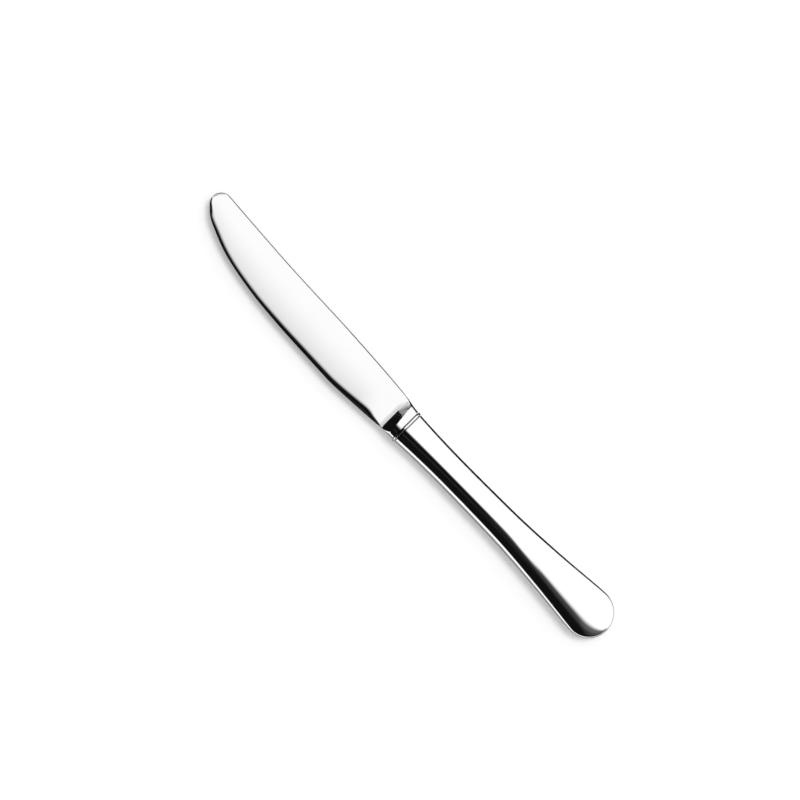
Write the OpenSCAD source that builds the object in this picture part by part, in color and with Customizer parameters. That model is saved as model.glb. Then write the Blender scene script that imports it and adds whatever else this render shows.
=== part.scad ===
// Table knife with a hollow handle, lying on its side.
// The handle's axis runs along X, with the butt at +X and the spine of the blade at +Y.
// Sections are worked out from the middle of the collar, and place() moves them to the part's origin.

/* [Blade] */
// Length from the middle of the collar to the tip
blade_len = 120.5; // [100:0.5:140]
// Height of the spine above the handle's axis, at the tip
spine_top = 14.45; // [12.5:0.05:17]
// Depth of the edge below the handle's axis, at its belly
belly_drop = 9.2; // [8:0.05:10.4]
// Distance from the collar to the belly of the edge
belly_x = 35.5; // [30:0.5:45]
// Radius of the rounded tip
tip_r = 4.65; // [3.5:0.05:5.5]
// Thickness of the blade on the handle's axis, at the collar
blade_t = 1.8; // [1.6:0.05:2.6]
// Angle at which each flank closes towards the edge
wedge_angle = 1.95; // [1.4:0.05:2.2]
// Angle at which each flank closes towards the tip
taper_angle = 0.23; // [0:0.01:0.26]
// Radius of the spine's long corners
spine_r = 0.4; // [0.2:0.05:0.5]
// Stock that the flat grind takes off each flank
grind = 0.05; // [0.03:0.01:0.08]

/* [Bevel] */
// Width of the ground bevel at the belly
bevel_w = 1.85; // [1:0.05:2.2]
// Angle between the bevel and the flank
bevel_angle = 13; // [9:0.5:18]
// Thickness left at the cutting edge
edge_t = 0.3; // [0.2:0.02:0.4]

/* [Bolster] */
// Width of the bolster and the handle where they meet the collar
neck_w = 14.9; // [13.6:0.1:16]
// Thickness of the bolster and the handle where they meet the collar
neck_t = 8.9; // [8.2:0.1:9.5]
// Distance from the collar to the top of the hollow ramp, on the handle's axis
ramp_x = 4; // [3:0.1:4.5]
// Length of the ramp down to the blade, on the handle's axis
ramp_len = 2.6; // [2:0.1:3.4]
// Angle at which the top of the ramp slants across the blade
ramp_slant = 9.6; // [0:0.1:11]
// Angle at which the foot of the ramp slants the other way
foot_slant = 3.3; // [0:0.1:6]
// How far the foot of the ramp curls towards the collar, below the spine
foot_curl = 0.45; // [0:0.05:0.5]

/* [Collar] */
// Width of the collar between the bolster and the handle
collar_w = 1.9; // [1.6:0.1:2.6]
// Width of the raised bead round the collar
bead_w = 1.1; // [0.7:0.1:1.3]
// Height of the bead above the bolster
bead_rise = 0.35; // [0.2:0.05:0.4]
// Depth of the fine groove on each side of the bead
groove_depth = 0.5; // [0.3:0.05:0.6]
// Length of the lip that enters the handle's mouth
lip_len = 2.2; // [1.5:0.1:4]

/* [Tang] */
// Distance from the collar's middle to the end of the tang
tang_len = 62; // [45:1:80]
// Diameter of the tang's root, in the collar's bore
root_d = 5; // [4:0.1:5.6]
// Length of the straight root
root_len = 8; // [6:0.5:12]
// Diameter at the tang's end
tang_end_d = 3.4; // [2.8:0.1:3.8]
// Depth of the keying notches round the tang
notch_depth = 0.6; // [0.3:0.1:0.9]
// Length of each keying notch
notch_len = 3; // [2:0.5:5]
// Number of keying notches
notch_count = 3; // [1:1:4]

/* [Handle] */
// Length from the middle of the collar to the butt
handle_len = 114.5; // [100:0.5:130]
// Width across the rounded butt
butt_w = 20.8; // [18:0.1:22]
// Width at the waist
waist_w = 13.5; // [12:0.1:14.5]
// Distance from the collar to the waist
waist_x = 27; // [20:1:40]
// Greatest thickness of the handle
handle_t = 9.6; // [9:0.1:11]
// Distance from the collar to the greatest thickness
thick_x = 60; // [50:1:70]
// Thickness where the handle begins to close towards the butt
dome_t = 8.6; // [8:0.1:9]
// Distance from the collar to where the handle begins to close
dome_x = 97; // [90:0.5:99]
// Wall of the two pressed shells
wall = 0.8; // [0.6:0.05:1.2]
// Distance from the collar to where the oval sections begin to grow fuller
full_x = 50; // [40:1:60]
// Fullness of the oval sections at the neck, where 2 is an ellipse
neck_fullness = 2; // [2:0.05:2.4]
// Fullness of the oval sections where the handle begins to close
butt_fullness = 2.6; // [2.4:0.05:3]

/* [Fits] */
// Clearance at each side of the tang, the lip and the cement
fit = 0.05; // [0.02:0.01:0.1]
// Overrun of a cut, and reach of a piece that is fused into its neighbour
overrun = 1; // [0.5:0.1:2]

/* [Hidden] */
$fn = 64;

// Segments of half an oval, an odd number, so that a flat facet lies on the top and the bottom
half_steps = 21;
// Number of sections along the blade and along the handle
blade_steps = 36;
handle_steps = 30;
// Angles of the sections round the tip and round the butt
round_step = 10;
round_end = 84;

neck_r = neck_w / 2;
butt_r = butt_w / 2;
butt_x = handle_len - butt_r;
collar_x = collar_w / 2;
lip_x = collar_x + lip_len;

// Centre of the rounded tip, and the point where its arc meets the edge
tip_x = blade_len - tip_r;
tip_y = spine_top - tip_r;
join_angle = 45;
join_x = tip_x + tip_r * cos(join_angle);
join_y = tip_y - tip_r * sin(join_angle);

// Points across one flank, and from the spine to the edge in all
flank_steps = 14;
blade_points = flank_steps + 4;

// Lines across the blade along the foot and the top of the ramp, and where the plain blade begins
function top_line(y) = ramp_x + y * tan(ramp_slant);
function foot_line(y) = ramp_x + ramp_len - y * tan(foot_slant) - foot_curl * pow(max(y, 0) / neck_r, 2);
ramp_lead = ramp_len / 2.6;
plate_x = foot_line(-neck_r) + ramp_lead;
// Angles of the sections up the hollow of the ramp, and of the first point of each neck section
ramp_angles = [0, 22, 44, 62, 78, 90];
neck_start_angle = 4;

// Spine from the collar to the tip, as shares of its length and of its rise
spine_shares = [
    [0, 0], [0.03, 0.054], [0.064, 0.15], [0.1, 0.222], [0.17, 0.31], [0.27, 0.41],
    [0.41, 0.523], [0.55, 0.593], [0.69, 0.68], [0.8, 0.785], [0.9, 0.888], [1, 1]
];
// Edge from the collar to the belly, as shares of that length and of the drop
heel_shares = [[0, 0], [0.2, 0], [0.32, 0.2], [0.44, 0.39], [0.66, 0.69], [0.89, 0.955], [1, 1]];
// Edge from the belly to the tip's arc, as shares of that length and of the rise
belly_shares = [
    [0, 0], [0.19, 0.038], [0.38, 0.088], [0.57, 0.183], [0.77, 0.385], [0.91, 0.662], [0.96, 0.803], [1, 1]
];
// Width of the bevel along the blade, as shares of the blade's length and of the bevel's width
bevel_shares = [
    [0, 0.03], [0.066, 0.03], [0.095, 0.8], [0.128, 1.25], [0.16, 1.15], [0.2, 1], [0.29, 1],
    [0.36, 0.86], [0.5, 0.8], [0.65, 0.74], [0.8, 0.66], [0.96, 0.6], [1, 0.4]
];
// Flare from the waist to the butt, as shares of that length and of the gain in half width
flare_shares = [[0, 0], [0.18, 0.03], [0.44, 0.15], [0.7, 0.483], [0.91, 0.875], [0.955, 0.96], [1, 1]];
// Cross profile of the bead, as shares of half its width and of its rise
bead_shares = [[1, 0], [0.85, 0.6], [0.45, 0.9], [0, 1]];

steel = [0.79, 0.8, 0.82];
cement = [0.62, 0.59, 0.54];

// Slope at point i of the smooth curve through the points p
function slope(p, i) =
    let (a = p[max(i - 1, 0)], b = p[min(i + 1, len(p) - 1)])
    (b.y - a.y) / (b.x - a.x);

// Value at x of the smooth curve through the points p, which rise in x
function curve(p, x, i = 0) =
    i < len(p) - 2 && x > p[i + 1].x ? curve(p, x, i + 1) :
    let (a = p[i], b = p[i + 1], w = b.x - a.x, t = (x - a.x) / w)
    a.y * (1 + 2 * t) * pow(1 - t, 2) + b.y * t * t * (3 - 2 * t)
    + w * t * (1 - t) * ((1 - t) * slope(p, i) - t * slope(p, i + 1));

// Spine and edge of the blade at a distance d from the collar
function spine_y(d) =
    d > tip_x ? tip_y + sqrt(pow(tip_r, 2) - pow(d - tip_x, 2)) :
    neck_r + (spine_top - neck_r) * curve(spine_shares, d / tip_x);
function edge_y(d) =
    d > join_x ? tip_y - sqrt(pow(tip_r, 2) - pow(d - tip_x, 2)) :
    d > belly_x ?
        -belly_drop + (join_y + belly_drop) * curve(belly_shares, (d - belly_x) / (join_x - belly_x)) :
    -neck_r - (belly_drop - neck_r) * curve(heel_shares, d / belly_x);

// Half thickness of the blade, whose flanks are flat
function flank(d, y) = blade_t / 2 + y * tan(wedge_angle) - d * tan(taper_angle);
function bevel_at(d) = bevel_w * curve(bevel_shares, d / blade_len);

// Section of the plain blade, from the spine's corner across the flank and the bevel to the edge
function plate_half(d, top, low) =
    let (
        r = min(spine_r, (top - low) / 4),
        bevel = min(bevel_at(d), (top - low) / 3),
        crown = flank(d, top - r) + grind - r,
        shoulder = low + bevel + grind / tan(bevel_angle),
        wide = top - r - shoulder
    )
    concat(
        [for (a = [0, 45]) [-d, top - r + r * cos(a), crown + r * sin(a)]],
        [for (i = [0 : flank_steps])
            let (y = shoulder + wide * (1 + cos(180 * i / flank_steps)) / 2)
            [-d, y, flank(d, y) + grind]
        ],
        [[-d, low, max(edge_t / 2, flank(d, low) - bevel * tan(bevel_angle))]]
    );
function plate_ring(d) = mirrored(plate_half(d, spine_y(d), edge_y(d)));

// Half a section with its mirror image below the middle plane
function mirrored(half) = concat(
    half,
    [for (i = [len(half) - 1 : -1 : 0]) [half[i].x, half[i].y, -half[i].z]]
);

// Point of an oval section at the angle a, with flat facets at its top and bottom
function oval_y(a, full) = sign(cos(a)) * pow(abs(cos(a)), 2 / full);
function oval_z(a, full) = sign(sin(a)) * min(1, pow(abs(sin(a)) / cos(90 / half_steps), 2 / full));
function oval_point(x, w, h, full, a) = [x, w * oval_y(a, full), h * oval_z(a, full)];
function oval_ring(x, w, h, full) = [
    for (i = [0 : 2 * half_steps - 1]) oval_point(x, w, h, full, i * 180 / half_steps)
];
function oval_half(x, w, h, full, side) = [
    for (i = [0 : half_steps]) oval_point(x, w, side * h, full, i * 180 / half_steps)
];

// Section of the neck, which follows the blade's outline. It lies along a line across the blade, and climbs
// from the flank to the bolster's oval by the share climb.
function mid_y(d) = (spine_y(d) + edge_y(d)) / 2;
function half_y(d) = (spine_y(d) - edge_y(d)) / 2;
function line_d(y, lead, up, on) =
    (foot_line(y) + lead) * (1 - up) + (top_line(y) * (1 - on) + collar_x * on) * up;
function neck_point(lead, up, on, climb, a) =
    let (
        y0 = neck_r * oval_y(a, neck_fullness),
        d = line_d(y0, lead, up, on),
        y = mid_y(d) + half_y(d) * oval_y(a, neck_fullness),
        top = neck_t / 2 * oval_z(a, neck_fullness),
        base = min(top, flank(d, y) + grind)
    )
    [-d, y, base + (top - base) * climb];
neck_turn = (180 - 2 * neck_start_angle) / (blade_points - 1);
function neck_ring(lead, up, on, climb) = mirrored([
    for (i = [0 : blade_points - 1]) neck_point(lead, up, on, climb, neck_start_angle + neck_turn * i)
]);

// Half width and half thickness of the handle at x, set in from its outside
function flare(x) = (butt_w - waist_w) / 2 * curve(flare_shares, (x - waist_x) / (butt_x - waist_x));
function handle_w(x, inset) =
    x > butt_x ? sqrt(pow(butt_r - inset, 2) - pow(x - butt_x, 2)) :
    x > waist_x ? waist_w / 2 + flare(x) - inset :
    waist_w / 2 + (neck_w - waist_w) / 2 * pow(1 - x / waist_x, 2) - inset;
function swell(x) =
    x < thick_x ? (handle_t - (handle_t - neck_t) * pow(1 - x / thick_x, 2)) / 2 :
    (handle_t - (handle_t - dome_t) * pow((x - thick_x) / (dome_x - thick_x), 2)) / 2;
function handle_h(x, inset) =
    (swell(x) - inset) * (x > dome_x ? sqrt(1 - pow((x - dome_x) / (handle_len - inset - dome_x), 2)) : 1);
function handle_full(x) =
    let (t = min(1, max(0, (x - full_x) / (dome_x - full_x))))
    neck_fullness + (butt_fullness - neck_fullness) * t * t * (3 - 2 * t);

// Places of the handle's sections, from its mouth to its butt
function handle_places(start, inset) = concat(
    [for (i = [0 : handle_steps - 1]) start + (butt_x - start) * i / handle_steps],
    [for (a = [0 : round_step : round_end]) butt_x + (butt_r - inset) * sin(a)],
    [butt_x + (butt_r - inset) * sin(round_end)]
);

// Faces between rings of n points each
function side_faces(rings, n) = [
    for (i = [0 : rings - 2], j = [0 : n - 1])
        let (a = i * n + j, b = i * n + (j + 1) % n)
        each [[a, b + n, b], [a, a + n, b + n]]
];

// Closed solid through convex rings, from -X to +X
module skin(rings) {
    n = len(rings[0]);
    last = (len(rings) - 1) * n;
    polyhedron(
        points = [for (ring = rings) each ring],
        faces = concat(
            side_faces(len(rings), n),
            [[for (j = [0 : n - 1]) j], [for (j = [n - 1 : -1 : 0]) last + j]]
        )
    );
}

// Moves a piece from the middle of the collar to the part's origin, below the middle of its box
module place() {
    tip_end = tip_x + tip_r * sin(round_end);
    butt_end = butt_x + butt_r * sin(round_end);
    low_y = max(butt_r, belly_drop);
    rest_z = max(handle_t / 2, neck_t / 2 + bead_rise);
    translate([(tip_end - butt_end) / 2, (low_y - spine_top) / 2, rest_z])
        children();
}

// Blade and bolster, from the tip to the collar
module plate() {
    skin(concat(
        [plate_ring(tip_x + tip_r * sin(round_end))],
        [for (a = [round_end - round_end % round_step : -round_step : 0]) plate_ring(tip_x + tip_r * sin(a))],
        [for (i = [blade_steps - 1 : -1 : 0]) plate_ring(plate_x + (tip_x - plate_x) * i / blade_steps)],
        [neck_ring(ramp_lead / 3, 0, 0, 0)],
        [for (a = ramp_angles) neck_ring(0, sin(a), 0, 1 - cos(a))],
        [for (t = [1 / 3, 2 / 3, 1]) neck_ring(0, 1, t, 1)]
    ));
}

// Room above one flank, as far as the ramp
module flank_cut() {
    reach = 2 * spine_top;
    translate([-plate_x, 0, flank(plate_x, 0)])
        rotate([wedge_angle, -taper_angle, 0])
            translate([-blade_len, -reach, 0])
                cube([blade_len, 2 * reach, reach]);
}

// Round tang with its keying notches, grown by a clearance
function tang_r(x) = root_d / 2 - (root_d - tang_end_d) / 2 * (x - root_len) / (tang_len - root_len);
function notch_x(i) = root_len + (tang_len - root_len) * (i + 1) / (notch_count + 1);
module tang(start, grown) {
    rotate([0, 90, 0])
        rotate_extrude()
            polygon(concat(
                [[0, start], [root_d / 2 + grown, start], [root_d / 2 + grown, root_len]],
                [for (i = [0 : notch_count - 1])
                    let (a = notch_x(i) - notch_len / 2, b = notch_x(i) + notch_len / 2)
                    each [
                        [tang_r(a) + grown, a + grown],
                        [tang_r(a) - notch_depth + grown, a + grown],
                        [tang_r(b) - notch_depth + grown, b - grown],
                        [tang_r(b) + grown, b - grown]
                    ]
                ],
                [[tang_end_d / 2 + grown, tang_len + grown], [0, tang_len + grown]]
            ));
}

// Blade, bolster and tang, forged in one piece
module blade() {
    color(steel)
        place()
            union() {
                difference() {
                    plate();
                    flank_cut();
                    mirror([0, 0, 1])
                        flank_cut();
                }
                tang(-collar_x - overrun, 0);
            }
}

// Ring with its bead, its two grooves and the lip inside the handle's mouth
module collar() {
    b = bead_w / 2;
    bead = concat(
        [for (s = bead_shares) [-s.x * b, s.y * bead_rise]],
        [for (i = [len(bead_shares) - 2 : -1 : 0]) [bead_shares[i].x * b, bead_shares[i].y * bead_rise]]
    );
    lip = -wall - fit;
    profile = concat(
        [[-collar_x, -groove_depth], [-b, -groove_depth]],
        bead,
        [[b, -groove_depth], [collar_x, -groove_depth], [collar_x, lip], [lip_x, lip]]
    );
    color(steel)
        place()
            difference() {
                skin([for (p = profile) oval_ring(p.x, neck_r + p.y, neck_t / 2 + p.y, neck_fullness)]);
                rotate([0, 90, 0])
                    cylinder(d = root_d + 2 * fit, h = 2 * (lip_x + overrun), center = true);
            }
}

// One pressed half of the handle, above or below the middle plane
module shell(side) {
    m = half_steps + 1;
    n = 2 * m;
    outer = handle_places(collar_x, 0);
    inner = handle_places(collar_x, wall);
    rings = [
        for (i = [0 : len(outer) - 1])
            let (
                x = outer[i],
                u = inner[i],
                inside = oval_half(u, handle_w(u, wall), handle_h(u, wall), handle_full(x), side)
            )
            concat(
                oval_half(x, handle_w(x, 0), handle_h(x, 0), handle_full(x), side),
                [for (j = [half_steps : -1 : 0]) inside[j]]
            )
    ];
    last = (len(rings) - 1) * n;
    faces = concat(
        side_faces(len(rings), n),
        [for (j = [0 : half_steps - 1]) [j, j + 1, n - 2 - j, n - 1 - j]],
        [
            [for (j = [half_steps : -1 : 0]) last + j],
            [for (j = [n - 1 : -1 : m]) last + j],
            [last, last + n - 1, last + m, last + half_steps]
        ]
    );
    polyhedron(
        points = [for (ring = rings) each ring],
        faces = side > 0 ? faces : [for (f = faces) [for (j = [len(f) - 1 : -1 : 0]) f[j]]]
    );
}

module handle_front_shell() {
    color(steel)
        place()
            shell(1);
}

module handle_back_shell() {
    color(steel)
        place()
            shell(-1);
}

// Cement that holds the tang and fills the sealed handle
module cement_core() {
    inset = wall + fit;
    color(cement)
        place()
            difference() {
                skin([
                    for (x = handle_places(lip_x + fit, inset))
                        oval_ring(x, handle_w(x, inset), handle_h(x, inset), handle_full(x))
                ]);
                tang(0, fit);
            }
}

blade();
collar();
handle_front_shell();
handle_back_shell();
cement_core();
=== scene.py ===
import math

import bmesh
import bpy
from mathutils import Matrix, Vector


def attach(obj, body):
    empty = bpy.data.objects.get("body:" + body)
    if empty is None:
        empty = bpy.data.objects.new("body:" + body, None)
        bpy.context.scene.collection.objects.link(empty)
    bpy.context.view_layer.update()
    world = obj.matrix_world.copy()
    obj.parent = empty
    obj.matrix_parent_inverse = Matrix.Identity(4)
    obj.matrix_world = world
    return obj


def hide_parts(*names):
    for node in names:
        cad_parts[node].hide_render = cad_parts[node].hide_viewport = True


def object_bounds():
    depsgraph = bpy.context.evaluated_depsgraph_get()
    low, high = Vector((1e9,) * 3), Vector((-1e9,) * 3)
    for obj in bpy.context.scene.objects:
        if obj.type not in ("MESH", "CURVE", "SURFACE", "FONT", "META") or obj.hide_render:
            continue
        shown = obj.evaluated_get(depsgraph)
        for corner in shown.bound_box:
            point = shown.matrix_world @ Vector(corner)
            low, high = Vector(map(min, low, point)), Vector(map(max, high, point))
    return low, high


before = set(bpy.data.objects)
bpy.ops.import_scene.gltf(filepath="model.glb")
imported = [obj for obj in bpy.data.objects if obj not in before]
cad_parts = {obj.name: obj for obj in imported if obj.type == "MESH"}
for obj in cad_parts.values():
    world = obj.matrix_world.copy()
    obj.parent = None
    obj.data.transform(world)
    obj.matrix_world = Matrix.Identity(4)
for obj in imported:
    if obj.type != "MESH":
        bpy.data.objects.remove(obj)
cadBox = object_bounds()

print("stage: frame loaded")

# Lengths in the dictionaries are millimetres from the middle of the collar, with x towards the butt,
# y towards the spine and z up from the middle plane. Along the blade, d counts towards the tip.
mm = 0.001

weldReach = 1e-7  # metres within which corners are welded
leastEdge = 1e-8  # metres, the shortest edge that is kept


def placed(x, y, z):
    return (origin + Vector((x, y, z))) * mm


def mix(a, b, t):
    return a + (b - a) * t


def smooth(t):
    t = min(1, max(0, t))
    return t * t * (3 - 2 * t)


def rise(x, low, high):
    return smooth((x - low) / (high - low))


def curve(points, x):
    # smooth curve through points that rise in x
    i = 0
    while i < len(points) - 2 and x > points[i + 1][0]:
        i += 1

    def slope(k):
        a, b = points[max(k - 1, 0)], points[min(k + 1, len(points) - 1)]
        return (b[1] - a[1]) / (b[0] - a[0])

    (ax, ay), (bx, by) = points[i], points[i + 1]
    w = bx - ax
    t = (x - ax) / w
    return (
        ay * (1 + 2 * t) * (1 - t) ** 2
        + by * t * t * (3 - 2 * t)
        + w * t * (1 - t) * ((1 - t) * slope(i) - t * slope(i + 1))
    )


def squarer(value, full):
    # an oval's cosine or sine, pushed outward where full is above 2
    return math.copysign(abs(value) ** (2 / full), value)


def makeObject(name, data):
    made = bpy.data.objects.new(name, data)
    bpy.context.scene.collection.objects.link(made)
    return made


def meshObject(name, mesh):
    data = bpy.data.meshes.new(name)
    mesh.to_mesh(data)
    mesh.free()
    return makeObject(name, data)


def finishMesh(name, mesh, nodes):
    # one piece from a bmesh, welded, with its faces turned outward
    bmesh.ops.remove_doubles(mesh, verts=mesh.verts, dist=weldReach)
    bmesh.ops.dissolve_degenerate(mesh, edges=mesh.edges, dist=leastEdge)
    bmesh.ops.recalc_face_normals(mesh, faces=mesh.faces)
    piece = meshObject(name, mesh)
    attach(piece, "root")
    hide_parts(*nodes)
    return piece


def smoothFaces(mesh, limit):
    # smooth faces, with the edges sharper than the limit kept crisp
    for face in mesh.faces:
        face.smooth = True
    mesh.normal_update()
    for edge in mesh.edges:
        if len(edge.link_faces) == 2 and edge.calc_face_angle(0) > math.radians(limit):
            edge.smooth = False


def bridge(mesh, first, second, closed=True):
    # quads between two rows of vertices
    n = len(first)
    for i in range(n if closed else n - 1):
        j = (i + 1) % n
        corners = []
        for v in (first[i], first[j], second[j], second[i]):
            if v not in corners:
                corners.append(v)
        if len(corners) > 2 and mesh.faces.get(corners) is None:
            mesh.faces.new(corners)


def ovalRing(mesh, x, wide, high, n):
    # a ring of vertices round the knife's long axis
    turns = [2 * math.pi * i / n for i in range(n)]
    return [mesh.verts.new(placed(x, wide * math.cos(a), high * math.sin(a))) for a in turns]


# Blade and bolster

blade = {
    "length": 120.47,
    "spineTop": 14.45,
    "bellyDrop": 9.2,
    "bellyX": 35.5,  # the d of the belly's lowest place
    "tipRadius": 4.65,
    "tipJoin": 45,  # degrees below the tip's end where the belly runs into its round
    "neckThick": 2.1,
    "wedgeAngle": 1.3,
    "taperAngle": 0.1,
    "spineRadius": 1.15,
    "crownTilt": 2.1,  # how much more the flank leans just above the bevel than at the spine
    "crownPower": 1.7,
    "crownNeck": 0.5,  # the share of that lean at the neck
    "crownGrown": (11, 23),
    "bevelWidth": 1.65,
    "bevelLeast": 0.03,
    "bevelAngle": 13,
    "bevelRound": 1.0,  # how far in the bevel's shoulder begins to round over
    "bevelRoundNeck": 0.1,  # the share of that at the neck
    "bevelBend": 1.5,  # how much it has turned where the bevel is taken to begin
    "bevelGrown": (8, 14),
    "bevelNose": (115, 119),  # the bevel is shorter and steeper round the nose
    "bevelNoseSteep": 5,
    "bevelNoseRound": 0.6,
    "noseAngle": 165,  # degrees round the tip, from the neck's side, to where the two paths meet
    "noseTurn": (0.48, 0.6),  # where the round of the spine turns into the bevel
    "edgeThick": 0.1,
    "stations": 150,
    "tipSteps": 26,
    "fineSteps": 40,
    "rimSteps": 14,
    "flankRows": 40,
    "rowPower": 1.6,  # the flank's rows are closer above the bevel
    "rowShare": 0.4,
    "sharpAngle": 38,
    # shares of length and of height along the spine, the heel, the belly and the bevel
    "spine": [(0, 0), (0.03, 0.054), (0.064, 0.15), (0.1, 0.222), (0.17, 0.31), (0.27, 0.41),
              (0.41, 0.523), (0.55, 0.593), (0.69, 0.68), (0.8, 0.785), (0.9, 0.888), (1, 1)],
    "heel": [(0, 0), (0.2, 0), (0.32, 0.2), (0.44, 0.39), (0.66, 0.69), (0.89, 0.955), (1, 1)],
    "belly": [(0, 0), (0.19, 0.038), (0.38, 0.088), (0.57, 0.183), (0.77, 0.385), (0.91, 0.662),
              (0.96, 0.803), (1, 1)],
    "bevel": [(0, 0.02), (0.05, 0.03), (0.066, 0.35), (0.08, 0.65), (0.1, 1.02), (0.128, 1.56),
              (0.18, 1.42), (0.24, 1.25), (0.33, 1.1), (0.43, 1.03), (0.53, 0.94), (0.63, 0.84),
              (0.73, 0.77), (0.79, 0.77), (0.86, 0.83), (0.93, 0.78), (0.97, 0.55), (1, 0.25)],
}

bolster = {
    "width": 14.9,
    "thick": 8.9,
    "foot": 8.95,  # where the ramp begins to rise from the blade
    "footBack": 0.045,  # how fast it draws back towards the spine
    "footBackY": 2,
    "crease": 6.9,  # where it turns steep
    "creaseSlant": 0.04,
    "creaseCurl": 0.06,  # how it bends away close to the edge side
    "creaseCurlY": -5,
    "creaseHeight": 0.45,
    "creaseEnd": (1, 8),  # towards the spine the crease runs out
    "fullness": 2.65,
    "footPower": 1.4,
    "top": 3.8,
    "topSlants": (0.15, 0.11),
    "hollow": 0.4,  # towards the spine the ramp grows hollow
    "hollowY": (1, 5),
    "lead": 0.15,
    "spreadPower": 0.8,  # how the blade's crowded rim opens into the oval's round side
    "footSteps": 10,
    "rampSteps": 20,
    "topSteps": 8,
}

tipX = blade["length"] - blade["tipRadius"]
tipY = blade["spineTop"] - blade["tipRadius"]
neckHalf = bolster["width"] / 2

# The collar's middle in the frame: the tip, the spine and the middle plane meet the CAD box
origin = Vector((
    cadBox[0].x / mm + blade["length"],
    cadBox[1].y / mm - blade["spineTop"],
    (cadBox[0].z + cadBox[1].z) / 2 / mm,
))


def tipPoint(a):
    # a point of the tip's round, by its angle from the neck's side
    return tipX - blade["tipRadius"] * math.cos(a), tipY + blade["tipRadius"] * math.sin(a)


joinAngle = math.radians(180 + blade["tipJoin"])
joinX, joinY = tipPoint(joinAngle)


def spineY(d):
    if d > tipX:
        return tipY + math.sqrt(max(0, blade["tipRadius"] ** 2 - (d - tipX) ** 2))
    return neckHalf + (blade["spineTop"] - neckHalf) * curve(blade["spine"], d / tipX)


def edgeY(d):
    if d > joinX:
        return tipY - math.sqrt(max(0, blade["tipRadius"] ** 2 - (d - tipX) ** 2))
    if d > blade["bellyX"]:
        share = curve(blade["belly"], (d - blade["bellyX"]) / (joinX - blade["bellyX"]))
        return -blade["bellyDrop"] + (joinY + blade["bellyDrop"]) * share
    return -neckHalf - (blade["bellyDrop"] - neckHalf) * curve(blade["heel"], d / blade["bellyX"])


def flankZ(d, y):
    # half thickness of the blade: a flat wedge, falling away a little above the bevel
    flat = (
        blade["neckThick"] / 2
        + y * math.tan(math.radians(blade["wedgeAngle"]))
        - d * math.tan(math.radians(blade["taperAngle"]))
    )
    spine, edge = spineY(min(d, tipX)), edgeY(min(d, tipX))
    chord = spine - edge
    t = min(1, max(0, (spine - y) / chord))
    power = blade["crownPower"]
    tilt = blade["crownTilt"] * mix(blade["crownNeck"], 1, rise(d, *blade["crownGrown"]))
    return flat - chord * math.tan(math.radians(tilt)) / power * t ** power


def footLine(y):
    return bolster["foot"] - bolster["footBack"] * max(y - bolster["footBackY"], 0) ** 2


def creaseLine(y):
    curl = max(0, bolster["creaseCurlY"] - y) ** 2
    return bolster["crease"] + bolster["creaseSlant"] * max(0, y) + bolster["creaseCurl"] * curl


def topLine(y):
    return bolster["top"] + bolster["topSlants"][0 if y < 0 else 1] * y


def outlinePaths(start):
    # two paths from the neck to the nose of the tip, with as many points each, one along the spine
    # and one along the edge, and the nose itself
    stations = [mix(start, tipX, i / blade["stations"]) for i in range(blade["stations"] + 1)]
    upper = [(d, spineY(d)) for d in stations]
    lower = [(d, edgeY(d)) for d in stations]
    steps, noseAngle = blade["tipSteps"], math.radians(blade["noseAngle"])
    for k in range(1, steps):
        upper.append(tipPoint(mix(math.pi / 2, noseAngle, k / steps)))
    n = blade["fineSteps"]
    fine = [(mix(tipX, joinX, k / n), edgeY(mix(tipX, joinX, k / n))) for k in range(n + 1)]
    fine += [tipPoint(mix(joinAngle, noseAngle, k / n)) for k in range(1, n + 1)]
    gone = [0]
    for a, b in zip(fine, fine[1:]):
        gone.append(gone[-1] + math.dist(a, b))
    for k in range(1, steps):
        want = gone[-1] * k / steps
        i = max(j for j in range(len(gone) - 1) if gone[j] <= want)
        t = (want - gone[i]) / (gone[i + 1] - gone[i])
        lower.append((mix(fine[i][0], fine[i + 1][0], t), mix(fine[i][1], fine[i + 1][1], t)))
    return upper, tipPoint(noseAngle), lower


def bevelSize(d):
    width = blade["bevelWidth"] * curve(blade["bevel"], min(1, d / blade["length"]))
    soft = blade["bevelRound"] * mix(blade["bevelRoundNeck"], 1, rise(d, *blade["bevelGrown"]))
    soft *= mix(1, blade["bevelNoseRound"], rise(d, *blade["bevelNose"]))
    return max(blade["bevelLeast"], width), soft


def bevelFall(d, edge, off):
    # how far the bevel lies below the flank, at a distance in from the edge
    width, soft = bevelSize(d)
    steep = mix(1, blade["bevelNoseSteep"], rise(d, *blade["bevelNose"]))
    full = math.tan(math.radians(blade["bevelAngle"])) * steep
    bend = math.tan(math.radians(blade["bevelBend"])) * steep / soft ** 2
    bent = math.sqrt(full / bend)

    def fall(u):
        return bend * min(u, bent) ** 3 / 3 + full * max(0, u - bent)

    room = flankZ(d, edge) - blade["edgeThick"] / 2
    return fall(max(0, width + soft - off)) * min(1, room / fall(width + soft))


def spineFall(off):
    # how far the round of the spine lies below the flank, at a distance in from the spine
    radius = blade["spineRadius"]
    return radius - math.sqrt(radius ** 2 - min(radius, max(0, radius - off)) ** 2)


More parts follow.
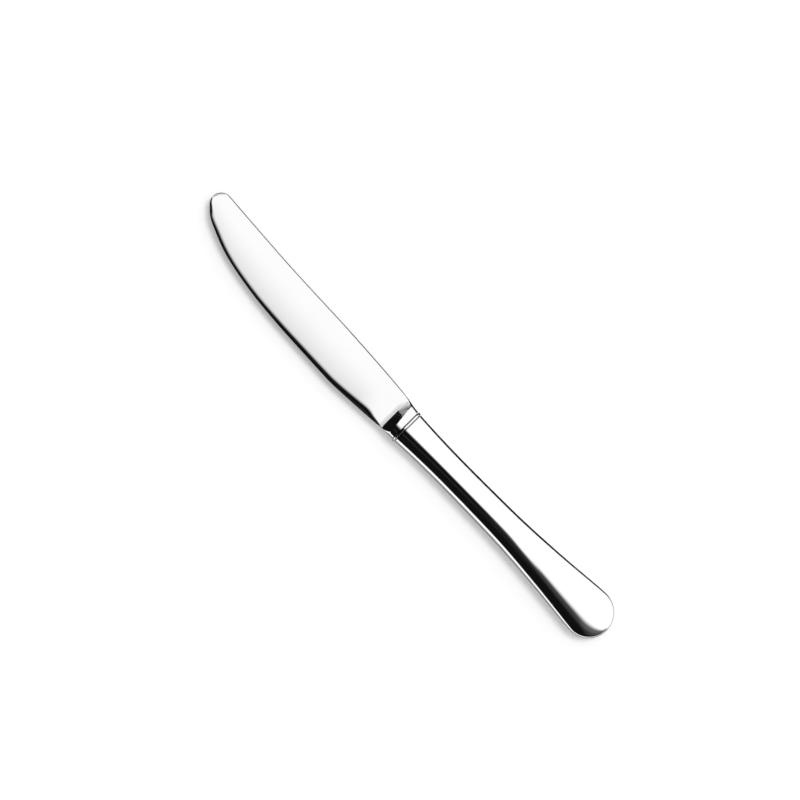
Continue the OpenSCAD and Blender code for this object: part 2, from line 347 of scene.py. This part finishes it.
def rimPoint(at, inward, k, edgeShare):
    # point k of the rim: 0 on the middle plane, then round the spine's corner or up the bevel
    steps = blade["rimSteps"]
    d0, y0 = at

    def onPlan(off):
        return d0 + inward[0] * off, y0 + inward[1] * off

    if k == 0:
        return d0, y0, 0
    turn = math.pi / 2 * (k - 1) / (steps - 1)
    radius = blade["spineRadius"]
    spineOff = radius * (1 - math.cos(turn))
    spineZ = flankZ(*onPlan(spineOff)) - radius * (1 - math.sin(turn))
    edgeOff = sum(bevelSize(d0)) * (k - 1) / (steps - 1)
    edgeZ = flankZ(*onPlan(edgeOff)) - bevelFall(d0, y0, edgeOff)
    d, y = onPlan(mix(spineOff, edgeOff, edgeShare))
    return d, y, mix(spineZ, edgeZ, edgeShare)


def makeBlade():
    mesh = bmesh.new()
    upper, nose, lower = outlinePaths(bolster["foot"] + bolster["lead"])
    outline = upper + [nose] + lower[::-1]
    count = len(outline)
    half = len(upper)
    rimSteps = blade["rimSteps"]
    rows = blade["flankRows"]

    rim = []
    tipStart, tipEnd = blade["stations"], count - 1 - blade["stations"]
    for i, at in enumerate(outline):
        a, b = outline[max(i - 1, 0)], outline[min(i + 1, count - 1)]
        along = Vector((b[0] - a[0], b[1] - a[1])).normalized()
        inward = (along[1], -along[0])  # the path runs out along the spine and back along the edge
        edgeShare = rise((i - tipStart) / (tipEnd - tipStart), *blade["noseTurn"])
        rim.append([rimPoint(at, inward, k, edgeShare) for k in range(rimSteps + 1)])

    def vertex(d, y, z):
        return mesh.verts.new(placed(-d, y, z))

    def flankSide(side, middle):
        loops = [
            [vertex(p[k][0], p[k][1], side * p[k][2]) for p in rim] for k in range(1, rimSteps + 1)
        ]
        for one, two in zip([middle] + loops, loops):
            bridge(mesh, one, two, closed=False)
        inner = loops[-1]
        rungs = []
        for i in range(half):
            j = count - 1 - i
            a, b = rim[i][-1], rim[j][-1]
            rung = [inner[i]]
            for r in range(1, rows):
                t = r / rows
                t = mix(t, 1 - (1 - t) ** blade["rowPower"], blade["rowShare"])
                d, y = mix(a[0], b[0], t), mix(a[1], b[1], t)
                rung.append(vertex(d, y, side * flankZ(d, y)))
            rung.append(inner[j])
            rungs.append(rung)
        for one, two in zip(rungs, rungs[1:]):
            bridge(mesh, one, two, closed=False)
        mesh.faces.new(rungs[-1] + [inner[half]])
        # the section at the neck, from the spine's corner to the edge, without the middle plane
        return [loop[0] for loop in loops] + rungs[0][1:-1] + [loop[-1] for loop in loops[::-1]]

    middle = [vertex(*p[0]) for p in rim]
    topSection = flankSide(1, middle)
    lowSection = flankSide(-1, middle)

    # places across the neck, as angles of the bolster's oval
    center, reach = (outline[0][1] + outline[-1][1]) / 2, (outline[0][1] - outline[-1][1]) / 2
    angles = []
    for v in topSection:
        share = (v.co.y / mm - origin.y - center) / reach
        angles.append(math.acos(min(1, max(-1, share))))
    for k in range(rimSteps):
        share = ((k + 1) / (rimSteps + 1)) ** bolster["spreadPower"]
        angles[k] = angles[rimSteps] * share
        angles[-1 - k] = math.pi - (math.pi - angles[-1 - rimSteps]) * share

    def neckSection(up, on):
        # up: 0 at the ramp's foot, 1 at its crease, 2 at its top; on: how far along the bolster's top
        points = []
        for a in [0] + angles + [math.pi]:
            y0 = neckHalf * math.cos(a)
            foot, crease, top = footLine(y0), creaseLine(y0), topLine(y0)
            d = mix(foot, crease, up) if up < 1 else mix(crease, top, up - 1)
            d = mix(d, collar["halfWidth"], on)
            spine, edge = spineY(d), edgeY(d)
            y = (spine + edge) / 2 + (spine - edge) / 2 * math.cos(a)
            power = bolster["fullness"]
            full = bolster["thick"] / 2 * max(0, 1 - abs(math.cos(a)) ** power) ** (1 / power)
            base = flankZ(d, y) - spineFall(spine - y) - bevelFall(d, edge, y - edge)
            base = min(full, base)
            lift = bolster["creaseHeight"] * (1 - rise(y0, *bolster["creaseEnd"]))
            lift = min(lift, (full - base) / 2)
            if up < 1:
                z = base + lift * up ** bolster["footPower"]
            else:
                hollow = bolster["hollow"] * rise(y0, *bolster["hollowY"])
                z = mix(base + lift, full, mix(up - 1, (up - 1) ** 2, hollow))
            points.append((d, y, z))
        return points

    sections = [neckSection(k / bolster["footSteps"], 0) for k in range(bolster["footSteps"])]
    sections += [neckSection(1 + k / bolster["rampSteps"], 0) for k in range(bolster["rampSteps"] + 1)]
    sections += [neckSection(2, (k + 1) / bolster["topSteps"]) for k in range(bolster["topSteps"])]

    rings = [[middle[0]] + topSection + [middle[-1]] + lowSection[::-1]]
    for points in sections:
        top = [vertex(*p) for p in points]
        under = [vertex(p[0], p[1], -p[2]) for p in points[1:-1]]
        rings.append(top + under[::-1])
    for one, two in zip(rings, rings[1:]):
        bridge(mesh, one, two)
    mesh.faces.new(rings[-1])

    smoothFaces(mesh, blade["sharpAngle"])
    addTang(mesh)
    return finishMesh("bladeForging", mesh, ["blade"])


tang = {
    "length": 62,
    "rootDiameter": 5,
    "rootLength": 8,
    "endDiameter": 3.4,
    "notchDepth": 0.6,
    "notchLength": 3,
    "notches": 3,
    "segments": 40,
}


def addTang(mesh):
    # round tang with keying notches, sealed in the cement
    root = tang["rootDiameter"] / 2

    def radius(x):
        share = (x - tang["rootLength"]) / (tang["length"] - tang["rootLength"])
        return mix(root, tang["endDiameter"] / 2, share)

    profile = [(-collar["halfWidth"], root), (tang["rootLength"], root)]
    for i in range(tang["notches"]):
        middle = mix(tang["rootLength"], tang["length"], (i + 1) / (tang["notches"] + 1))
        a, b = middle - tang["notchLength"] / 2, middle + tang["notchLength"] / 2
        profile += [(a, radius(a)), (a, radius(a) - tang["notchDepth"])]
        profile += [(b, radius(b) - tang["notchDepth"]), (b, radius(b))]
    profile.append((tang["length"], tang["endDiameter"] / 2))
    rings = [ovalRing(mesh, x, r, r, tang["segments"]) for x, r in profile]
    for one, two in zip(rings, rings[1:]):
        bridge(mesh, one, two)
    mesh.faces.new(rings[0])
    mesh.faces.new(rings[-1])


# Collar

collar = {
    "halfWidth": 0.95,
    "beadMiddle": -0.15,
    "beadHalf": 0.5,
    "beadRise": 0.35,
    "beadPower": 0.8,
    "rearLand": 0.7,
    "grooveDepth": 0.5,
    "lipLength": 2.2,
    "segments": 128,
    "beadSteps": 12,
    "sharpAngle": 35,
    "grooves": ((-0.82, 0.46, 1), (0.53, 0.38, 0.8)),  # place, half width and darkness of the painted shade in each
}


def makeCollar():
    mesh = bmesh.new()
    end, land, n = collar["halfWidth"], collar["rearLand"], collar["segments"]
    middle, half = collar["beadMiddle"], collar["beadHalf"]
    bed = -collar["grooveDepth"]
    profile = [(-end, bed)] + [(mix(-end, middle - half, t), bed) for t in (0.5, 1)]
    for k in range(collar["beadSteps"] + 1):
        a = math.pi * k / collar["beadSteps"]
        profile.append((middle - half * math.cos(a), collar["beadRise"] * math.sin(a) ** collar["beadPower"]))
    profile += [(mix(middle + half, land, t), bed) for t in (0, 0.5, 1)]
    profile += [(land, 0), (end, 0)]
    lip = -handle["wall"] - handle["fit"]
    profile += [(end, lip), (end + collar["lipLength"], lip)]
    rings = [ovalRing(mesh, x, neckHalf + out, bolster["thick"] / 2 + out, n) for x, out in profile]
    bore = tang["rootDiameter"] / 2 + handle["fit"]
    rings += [ovalRing(mesh, x, bore, bore, n) for x in (end + collar["lipLength"], -end)]
    for one, two in zip(rings, rings[1:] + rings[:1]):
        bridge(mesh, one, two)
    smoothFaces(mesh, collar["sharpAngle"])
    return finishMesh("collarRing", mesh, ["collar"])


# Handle shells

handle = {
    "length": 114.44,
    "buttWidth": 20.8,
    "waistWidth": 13.5,
    "waistX": 27,
    "thick": 9.6,
    "thickX": 60,
    "domeThick": 8.6,
    "domeX": 97,
    "wall": 0.8,
    "fullX": 50,  # from here to the dome the section grows fuller than an ellipse
    "neckFullness": 2,
    "buttFullness": 2.6,
    "fit": 0.05,
    "stations": 130,
    "buttSteps": 30,
    "buttTurn": 88.5,  # the round of the butt stops just short of a point
    "segments": 56,
    "sharpAngle": 40,
    # shares of length and of width from the waist to the butt
    "flare": [(0, 0), (0.18, 0.03), (0.44, 0.15), (0.7, 0.483), (0.91, 0.875), (0.955, 0.96), (1, 1)],
}

buttRadius = handle["buttWidth"] / 2
buttX = handle["length"] - buttRadius


def handleW(x, inset):
    if x > buttX:
        return math.sqrt(max(0, (buttRadius - inset) ** 2 - (x - buttX) ** 2))
    waist = handle["waistWidth"] / 2
    if x > handle["waistX"]:
        share = curve(handle["flare"], (x - handle["waistX"]) / (buttX - handle["waistX"]))
        return mix(waist, buttRadius, share) - inset
    return waist + (neckHalf - waist) * (1 - x / handle["waistX"]) ** 2 - inset


def handleH(x, inset):
    if x < handle["thickX"]:
        swell = handle["thick"] - (handle["thick"] - bolster["thick"]) * (1 - x / handle["thickX"]) ** 2
    else:
        share = (x - handle["thickX"]) / (handle["domeX"] - handle["thickX"])
        swell = handle["thick"] - (handle["thick"] - handle["domeThick"]) * share ** 2
    half = swell / 2 - inset
    if x > handle["domeX"]:
        share = (x - handle["domeX"]) / (handle["length"] - inset - handle["domeX"])
        half *= math.sqrt(max(0, 1 - share ** 2))
    return half


def handleFull(x):
    share = rise(x, handle["fullX"], handle["domeX"])
    return mix(handle["neckFullness"], handle["buttFullness"], share)


def handlePlaces(inset):
    straight = [
        mix(collar["halfWidth"], buttX, i / handle["stations"]) for i in range(handle["stations"])
    ]
    rounded = [
        buttX + (buttRadius - inset) * math.sin(math.radians(handle["buttTurn"]) * i / handle["buttSteps"])
        for i in range(handle["buttSteps"] + 1)
    ]
    return straight + rounded


def makeShell(name, side, node):
    mesh = bmesh.new()
    turns = [math.pi * i / handle["segments"] for i in range(handle["segments"] + 1)]
    walls = []
    for inset in (0, handle["wall"]):
        rows = []
        for x, outerX in zip(handlePlaces(inset), handlePlaces(0)):
            full = handleFull(outerX)
            w, h = handleW(x, inset), side * handleH(x, inset)
            rows.append([
                mesh.verts.new(placed(x, w * squarer(math.cos(a), full), h * squarer(math.sin(a), full)))
                for a in turns
            ])
        for one, two in zip(rows, rows[1:]):
            bridge(mesh, one, two, closed=False)
        mesh.faces.new(rows[-1])
        walls.append(rows)
    outer, inner = walls
    bridge(mesh, outer[0], inner[0], closed=False)
    for k in (0, -1):
        bridge(mesh, [row[k] for row in outer], [row[k] for row in inner], closed=False)
    mesh.faces.new((outer[-1][0], outer[-1][-1], inner[-1][-1], inner[-1][0]))
    smoothFaces(mesh, handle["sharpAngle"])
    return finishMesh(name, mesh, [node])


print("stage: blade")
bladePiece = makeBlade()
print("stage: collar")
collarPiece = makeCollar()
print("stage: handle")
frontShell = makeShell("handleShellFront", 1, "handle_front_shell")
backShell = makeShell("handleShellBack", -1, "handle_back_shell")


# Materials


class Wire:
    # a socket on which Python's operators add Math nodes
    def __init__(self, graph, socket):
        self.graph, self.socket = graph, socket

    def sibling(self, output):
        # another output of the same node
        return Wire(self.graph, self.socket.node.outputs[output])

    def maths(self, operation, *values):
        inputs = {i: value for i, value in enumerate(values)}
        return self.graph.node("ShaderNodeMath", {"operation": operation}, inputs)

    def __add__(self, other):
        return self.maths("ADD", self, other)

    def __radd__(self, other):
        return self.maths("ADD", other, self)

    def __sub__(self, other):
        return self.maths("SUBTRACT", self, other)

    def __rsub__(self, other):
        return self.maths("SUBTRACT", other, self)

    def __mul__(self, other):
        return self.maths("MULTIPLY", self, other)

    def __rmul__(self, other):
        return self.maths("MULTIPLY", other, self)

    def __truediv__(self, other):
        return self.maths("DIVIDE", self, other)

    def __rtruediv__(self, other):
        return self.maths("DIVIDE", other, self)


class Graph:
    def __init__(self, tree):
        self.tree = tree
        tree.nodes.clear()

    def node(self, kind, settings=None, inputs=None, output=0):
        made = self.tree.nodes.new(kind)
        for name, value in (settings or {}).items():
            setattr(made, name, value)
        for name, value in (inputs or {}).items():
            if isinstance(value, Wire):
                self.tree.links.new(value.socket, made.inputs[name])
            else:
                made.inputs[name].default_value = value
        return Wire(self, made.outputs[output]) if made.outputs else None

    def step(self, value, low, high, start=0, end=1):
        # smooth change from start to end as the value goes from low to high
        return self.node(
            "ShaderNodeMapRange",
            {"interpolation_type": "SMOOTHSTEP"},
            {"Value": value, "From Min": low, "From Max": high, "To Min": start, "To Max": end},
        )

    def bearing(self, aside, ahead):
        # the angle in degrees of the direction that two wires give
        return aside.maths("ARCTAN2", aside, ahead) * math.degrees(1)

    def fromCollar(self, axis):
        # x (axis 0) or y (axis 1) of a place on the surface, as in the dictionaries
        at = self.node("ShaderNodeTexCoord", output="Object")
        place = self.node("ShaderNodeSeparateXYZ", {}, {"Vector": at}, output=axis)
        return place / mm - origin[axis]

    def noise(self, grain, detail):
        # noise on the object's own coordinates, stretched so that its grain can run one way
        at = self.node("ShaderNodeTexCoord", output="Object")
        at = self.node("ShaderNodeMapping", {}, {"Vector": at, "Scale": grain})
        return self.node("ShaderNodeTexNoise", {}, {"Vector": at, "Scale": 1, "Detail": detail})

    def blend(self, share, one, two):
        return self.node(
            "ShaderNodeMix", {"data_type": "RGBA"}, {0: share, 6: one, 7: two}, output=2
        )


def newMaterial(name):
    material = bpy.data.materials.new(name)
    material.use_nodes = True
    return material, Graph(material.node_tree)


def setMaterial(piece, material):
    piece.data.materials.clear()
    piece.data.materials.append(material)


polish = {
    # two shades that drift into each other, how fine the polishing lines are along x, y and z,
    # and how dull the finish is
    "blade": {"shades": ((0.9, 0.9, 0.91, 1), (0.94, 0.94, 0.945, 1)), "grain": (900, 14000, 14000),
              "dull": 1.2},
    "handle": {"shades": ((0.93, 0.93, 0.94, 1), (0.97, 0.97, 0.975, 1)), "grain": (700, 9000, 9000),
               "dull": 1},
    "clouds": (60, 60, 60),
    "paintedShade": (0.02, 0.02, 0.02, 1),  # painted shade in the collar's grooves
    # the share of each groove's half width that is fully in painted shade
    "paintedShadeCore": 0.5,
    "rough": (0.025, 0.06),
    "lineDetail": 4,
    "cloudDetail": 2,
    "lineShare": 0.5,  # how much of the roughness follows the lines, and the rest the clouds
    "lineStrength": 0.25,
    "lineDepth": 0.000002,  # metres
}


def makeSteel(name, finish, grooves=()):
    # mirror-polished stainless steel with fine polishing lines along the piece
    material, graph = newMaterial(name)
    lines = graph.noise(finish["grain"], polish["lineDetail"])
    clouds = graph.noise(polish["clouds"], polish["cloudDetail"])
    base = graph.blend(clouds, *finish["shades"])
    # the collar's grooves get painted shade, which darkens the colour towards black
    if grooves:
        x = graph.fromCollar(0)
        paintedShade = 0.0
        for middle, half, shadeDarkness in grooves:
            away = x.maths("ABSOLUTE", x - middle)
            paintedShade = (1 - graph.step(away, half * polish["paintedShadeCore"], half)) * shadeDarkness + paintedShade
        base = graph.blend(paintedShade, base, polish["paintedShade"])
    rough = mix(*polish["rough"], mix(clouds, lines, polish["lineShare"]))
    bump = graph.node(
        "ShaderNodeBump",
        {},
        {"Strength": polish["lineStrength"], "Distance": polish["lineDepth"], "Height": lines},
    )
    shader = graph.node(
        "ShaderNodeBsdfPrincipled",
        {},
        {"Base Color": base, "Metallic": 1.0, "Roughness": rough * finish["dull"], "Normal": bump},
    )
    graph.node("ShaderNodeOutputMaterial", {}, {"Surface": shader})
    return material


cement = {
    "shades": ((0.3, 0.27, 0.22, 1), (0.62, 0.58, 0.5, 1)),
    "grit": (1400, 1400, 1400),
    "gritDetail": 6,
    "patches": (160, 160, 160),
    "patchDetail": 3,
    "gritShare": 0.6,
    "rough": (0.7, 0.95),
    "gritStrength": 0.6,
    "gritDepth": 0.0002,  # metres
}


def makeCement():
    material, graph = newMaterial("setCement")
    grit = graph.noise(cement["grit"], cement["gritDetail"])
    patches = graph.noise(cement["patches"], cement["patchDetail"])
    base = graph.blend(mix(patches, grit, cement["gritShare"]), *cement["shades"])
    bump = graph.node(
        "ShaderNodeBump",
        {},
        {"Strength": cement["gritStrength"], "Distance": cement["gritDepth"], "Height": grit},
    )
    shader = graph.node(
        "ShaderNodeBsdfPrincipled",
        {},
        {"Base Color": base, "Roughness": mix(*cement["rough"], grit), "Normal": bump},
    )
    graph.node("ShaderNodeOutputMaterial", {}, {"Surface": shader})
    return material


print("stage: materials")
setMaterial(bladePiece, makeSteel("bladeSteel", polish["blade"]))
handleSteel = makeSteel("handleSteel", polish["handle"])
setMaterial(collarPiece, makeSteel("collarSteel", polish["handle"], collar["grooves"]))
setMaterial(frontShell, handleSteel)
setMaterial(backShell, handleSteel)
setMaterial(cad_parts["cement_core"], makeCement())


# Studio

black, white = (0, 0, 0, 1), (1, 1, 1, 1)

cardLook = {
    "ambient": 0.82,  # the soft light
    "skyUp": 0.8,  # it comes from above and from the spine's side
    "skySide": 0.6,
    "skyEdge": (0, 0.8),
    "white": 1.06,  # what the steel mirrors beside the cards
    # Dark cards that only the steel mirrors. Starts and ends are degrees from straight up, turns are
    # degrees round from the butt over the spine's side, leans are how far a ray points to the butt.
    "sideStart": (4.2, 13.4),  # the card along the edge side
    "sideEnd": (77.5, 80),
    "sideStop": (50, 70),  # on the spine's side it stops towards the tip
    "sideSlant": 0.05,  # it follows the round of the butt a little
    "sideGlow": 0.005,
    "sideLater": 7,  # towards the butt it ends later
    "sideLaterLean": (0.02, 0.3),
    "bulge": 3,  # just past the handle's middle it starts later
    "bulgeLean": (0.06, 0.072),
    "bulgeLeanEnd": (0.084, 0.1),
    "buttGlow": 0.05,  # and from there on its first part is paler
    "buttGlowEnd": (12, 28),
    "buttGlowLean": (0.044, 0.06),
    "endGlow": 0.08,  # as it is round the end of the butt
    "endGlowEnd": (30, 80),
    "endGlowTurn": (312, 352),
    "seam": (28.5, 31.5),  # a light line within it
    "seamGlow": 0.05,
    "seamLean": (-0.3, -0.1),
    "seamLeanEnd": (0.045, 0.065),
    "tipStart": (30, 43),  # the card past the tip
    "tipEnd": (100, 112),
    "tipTurn": (179.6, 182.2),
    "tipTurnEnd": (228, 245),
    "tipSooner": 3,  # close to the horizon it begins sooner
    "tipSoonerStart": (86, 90),
    "hazeTurn": (110, 140),  # a grey haze beside it
    "hazeStart": (5, 32),
    "hazeDepth": 0.33,
    "hazeMoreStart": (60, 96),
    "hazeMoreDepth": 0.5,
}


def makeWorld():
    world = bpy.data.worlds.new("studioWorld")
    bpy.context.scene.world = world
    world.use_nodes = True
    graph = Graph(world.node_tree)
    look = cardLook
    toward = graph.node("ShaderNodeTexCoord", output="Generated")
    x = graph.node("ShaderNodeSeparateXYZ", {}, {"Vector": toward})
    y, z = x.sibling("Y"), x.sibling("Z")
    toSide = graph.bearing(x.maths("MAXIMUM", x, 0.0) * look["sideSlant"] - y, z)
    toTip = graph.bearing(0 - x, z)
    turned = x.maths("WRAP", graph.bearing(y, x), 360.0, 0.0)

    later = graph.step(x, *look["sideLaterLean"], 0, look["sideLater"])
    sideEnd = [later + end for end in look["sideEnd"]]
    bulge = graph.step(x, *look["bulgeLean"], 0, look["bulge"]) * (1 - graph.step(x, *look["bulgeLeanEnd"]))
    sideCard = graph.step(toSide - bulge, *look["sideStart"]) * (1 - graph.step(toSide, *sideEnd))
    sooner = graph.step(toTip, *look["tipSoonerStart"], 0, look["tipSooner"])
    edgeward = graph.step(turned + sooner, *look["tipTurn"])
    sideCard = sideCard * (1 - graph.step(toTip, *look["sideStop"]) * (1 - edgeward))

    pastTip = graph.step(toTip, *look["tipStart"]) * (1 - graph.step(toTip, *look["tipEnd"])) * edgeward
    haze = graph.step(toTip, *look["hazeStart"]) * look["hazeDepth"]
    haze = haze + graph.step(toTip, *look["hazeMoreStart"]) * look["hazeMoreDepth"]
    haze = haze * graph.step(turned, *look["hazeTurn"])
    tipCard = x.maths("MAXIMUM", pastTip, haze) * (1 - graph.step(turned, *look["tipTurnEnd"]))

    seamMiddle = sum(look["seam"]) / 2
    seam = graph.step(toSide, look["seam"][0], seamMiddle)
    seam = seam * (1 - graph.step(toSide, seamMiddle, look["seam"][1]))
    seam = seam * graph.step(x, *look["seamLean"]) * (1 - graph.step(x, *look["seamLeanEnd"]))
    buttGlow = graph.step(x, *look["buttGlowLean"]) * (1 - graph.step(toSide, *look["buttGlowEnd"]))
    endGlow = graph.step(turned, *look["endGlowTurn"]) * (1 - graph.step(toSide, *look["endGlowEnd"]))
    glows = seam * look["seamGlow"] + buttGlow * look["buttGlow"] + endGlow * look["endGlow"]

    mirrored = (1 - x.maths("MAXIMUM", sideCard, tipCard)) + look["sideGlow"] + glows
    lit = graph.step(z * look["skyUp"] + y * look["skySide"], *look["skyEdge"])
    isCamera = graph.node("ShaderNodeLightPath", output="Is Camera Ray")
    plain = x.maths("MAXIMUM", isCamera, isCamera.sibling("Is Transmission Ray"))
    background = graph.node("ShaderNodeBackground", {}, {"Color": white, "Strength": 1.0})
    light = graph.node(
        "ShaderNodeBackground", {}, {"Color": graph.blend(lit, black, white), "Strength": look["ambient"]}
    )
    cards = graph.node(
        "ShaderNodeBackground", {}, {"Color": graph.blend(mirrored, black, white), "Strength": look["white"]}
    )
    glow = graph.node("ShaderNodeMixShader", {}, {0: isCamera.sibling("Is Glossy Ray"), 1: light, 2: cards})
    glow = graph.node("ShaderNodeMixShader", {}, {0: plain, 1: glow, 2: background})
    graph.node("ShaderNodeOutputWorld", {}, {"Surface": glow})


floorLook = {
    "color": (0.8, 0.8, 0.8, 1),
    "glow": 0.27,
    "reach": 1500,
    "drop": 0.02,  # how far the floor lies below the knife
}


def makeFloor():
    mesh = bmesh.new()
    reach = floorLook["reach"] * mm
    z = cadBox[0].z - floorLook["drop"] * mm
    corners = [(-reach, -reach, z), (reach, -reach, z), (reach, reach, z), (-reach, reach, z)]
    mesh.faces.new([mesh.verts.new(corner) for corner in corners])
    floor = meshObject("floor", mesh)
    material, graph = newMaterial("paleFloor")
    paint = graph.node("ShaderNodeBsdfDiffuse", {}, {"Color": floorLook["color"]})
    isCamera = graph.node("ShaderNodeLightPath", output="Is Camera Ray")
    seen = isCamera.maths("MAXIMUM", isCamera, isCamera.sibling("Is Glossy Ray"))
    seen = seen.maths("MAXIMUM", seen, isCamera.sibling("Is Transmission Ray"))
    glow = graph.node("ShaderNodeEmission", {}, {"Strength": floorLook["glow"]})
    both = graph.node("ShaderNodeAddShader", {}, {0: paint, 1: glow})
    mixed = graph.node("ShaderNodeMixShader", {}, {0: seen, 1: paint, 2: both})
    graph.node("ShaderNodeOutputMaterial", {}, {"Surface": mixed})
    setMaterial(floor, material)


rimLook = {
    # a rim of painted contact shadow on the floor, close round the knife, that only the steel mirrors
    "inside": 1.5,
    "reach": 26,
    "reachBlade": 110,  # it reaches further on the spine's side of the blade
    "reachGrown": (5, 25),
    "spread": 3,  # outline points on each side that give its direction
    "dark": 0.015,
    "darkX": (-30, -5),
    "darkTurn": (-50, -20),  # turns are degrees round the butt
    "grey": 0.26,  # the painted shadow is grey along the handle's edge side
    "greyY": (-3, 3),
    "pale": 0.45,
    "paleX": (102, 114),
    "paleTurn": (2, 14),
    "haze": 0.13,  # what the ramp mirrors towards the spine
    "hazeFrom": -1,
    "hazeSlope": (0.04, 0.08),
    "hazeX": (-50, -35),
    "hazeY": (30, 60),
    # a dark sheet on the floor past the blade, which the bolster's ramp mirrors
    "sheet": ((-20, -14), (-20, -50), (-700, -500), (-700, 450), (-20, 40)),
    "sheetDrop": 0.01,
    # a low dark wall behind the blade, for the line along its spine
    "wallY": 125,
    "wallEnds": (-128, 0),
    "wallHeight": 17,
}


def overFloor(mesh, x, y, up=0):
    # a vertex at a height over the knife's lowest place
    at = placed(x, y, 0)
    return mesh.verts.new((at.x, at.y, cadBox[0].z + up * mm))


def makeRim():
    upper, nose, lower = outlinePaths(collar["halfWidth"])
    right = [(x, handleW(x, 0)) for x in handlePlaces(0)]
    points = [(-nose[0], nose[1])] + [(-d, y) for d, y in upper[::-1]] + right
    points += [(x, -w) for x, w in right[::-1]] + [(-d, y) for d, y in lower]
    mesh = bmesh.new()
    spread = rimLook["spread"]
    rows = []
    for i, (x, y) in enumerate(points):
        a, b = points[i - spread], points[(i + spread) % len(points)]
        along = Vector((b[0] - a[0], b[1] - a[1])).normalized()
        out = (-along[1], along[0])
        wide = rise(-x, *rimLook["reachGrown"]) * smooth(out[1])
        far = mix(rimLook["reach"], rimLook["reachBlade"], wide)
        reaches = (-rimLook["inside"], far)
        rows.append([overFloor(mesh, x + out[0] * reach, y + out[1] * reach) for reach in reaches])
    bridge(mesh, [row[0] for row in rows], [row[1] for row in rows])
    mesh.faces.new([overFloor(mesh, x, y, -rimLook["sheetDrop"]) for x, y in rimLook["sheet"]])
    (left, end), high = rimLook["wallEnds"], rimLook["wallHeight"]
    wall = [(left, 0), (end, 0), (end, high), (left, high)]
    mesh.faces.new([overFloor(mesh, x, rimLook["wallY"], up) for x, up in wall])
    rim = meshObject("shadowRimAndCards", mesh)
    rim.visible_camera = rim.visible_diffuse = rim.visible_shadow = rim.visible_transmission = False

    # painted contact shadow round the knife, with the dark sheet and wall, all seen only in the steel
    material, graph = newMaterial("paintedShadowAndCards")
    x, y = graph.fromCollar(0), graph.fromCollar(1)
    around = graph.bearing(y, x - buttX)
    level = graph.step(y, *rimLook["greyY"], rimLook["grey"], rimLook["dark"])
    level = mix(level, rimLook["dark"], graph.step(around, *rimLook["darkTurn"]))
    level = mix(level, rimLook["dark"], 1 - graph.step(x, *rimLook["darkX"]))
    haze = graph.step(y / (rimLook["hazeFrom"] - x), *rimLook["hazeSlope"])
    haze = haze * (1 - graph.step(x, *rimLook["hazeX"])) * (1 - graph.step(y, *rimLook["hazeY"]))
    level = mix(level, rimLook["haze"], haze)
    pale = graph.step(x, *rimLook["paleX"]) * graph.step(around, *rimLook["paleTurn"])
    level = mix(level, rimLook["pale"], pale)
    glow = graph.node("ShaderNodeEmission", {}, {"Color": graph.blend(level, black, white)})
    graph.node("ShaderNodeOutputMaterial", {}, {"Surface": glow})
    setMaterial(rim, material)


sunLook = {
    "strength": 0.46,
    "elevation": 66,
    "azimuth": 80,
    "size": 24,
}


def makeSun():
    lamp = bpy.data.lights.new("keySun", "SUN")
    lamp.energy = sunLook["strength"] * math.pi
    lamp.angle = math.radians(sunLook["size"])
    up, around = math.radians(sunLook["elevation"]), math.radians(sunLook["azimuth"])
    toward = Vector((math.cos(up) * math.cos(around), math.cos(up) * math.sin(around), math.sin(up)))
    sun = makeObject("keySun", lamp)
    sun.rotation_euler = toward.to_track_quat("Z", "Y").to_euler()
    sun.visible_glossy = False


# Camera: straight down, as in the photograph

view = {
    "imageSize": 800,
    "pixelsPerMm": 2.4935,
    "collarPixel": (406.42, 427.22),
    "turn": 45.49,
    "height": 1100,
    "sensor": 36,
    "clipEnd": 10000,
}


def makeCamera():
    turn = math.radians(view["turn"])
    right = Vector((math.cos(turn), math.sin(turn), 0))
    up = Vector((-math.sin(turn), math.cos(turn), 0))
    middle = view["imageSize"] / 2
    shiftRight = (view["collarPixel"][0] - middle) / view["pixelsPerMm"]
    shiftDown = (view["collarPixel"][1] - middle) / view["pixelsPerMm"]
    at = origin - right * shiftRight + up * shiftDown
    data = bpy.data.cameras.new("photoCamera")
    data.sensor_width = view["sensor"]
    data.lens = view["sensor"] * view["height"] * view["pixelsPerMm"] / view["imageSize"]
    data.clip_end = view["clipEnd"] * mm
    camera = makeObject("photoCamera", data)
    camera.location = Vector((at.x, at.y, at.z + view["height"])) * mm
    camera.rotation_euler = (0, 0, turn)
    bpy.context.scene.camera = camera


print("stage: studio")
makeWorld()
makeFloor()
makeRim()
makeSun()
makeCamera()
bpy.context.scene.view_settings.view_transform = "Standard"
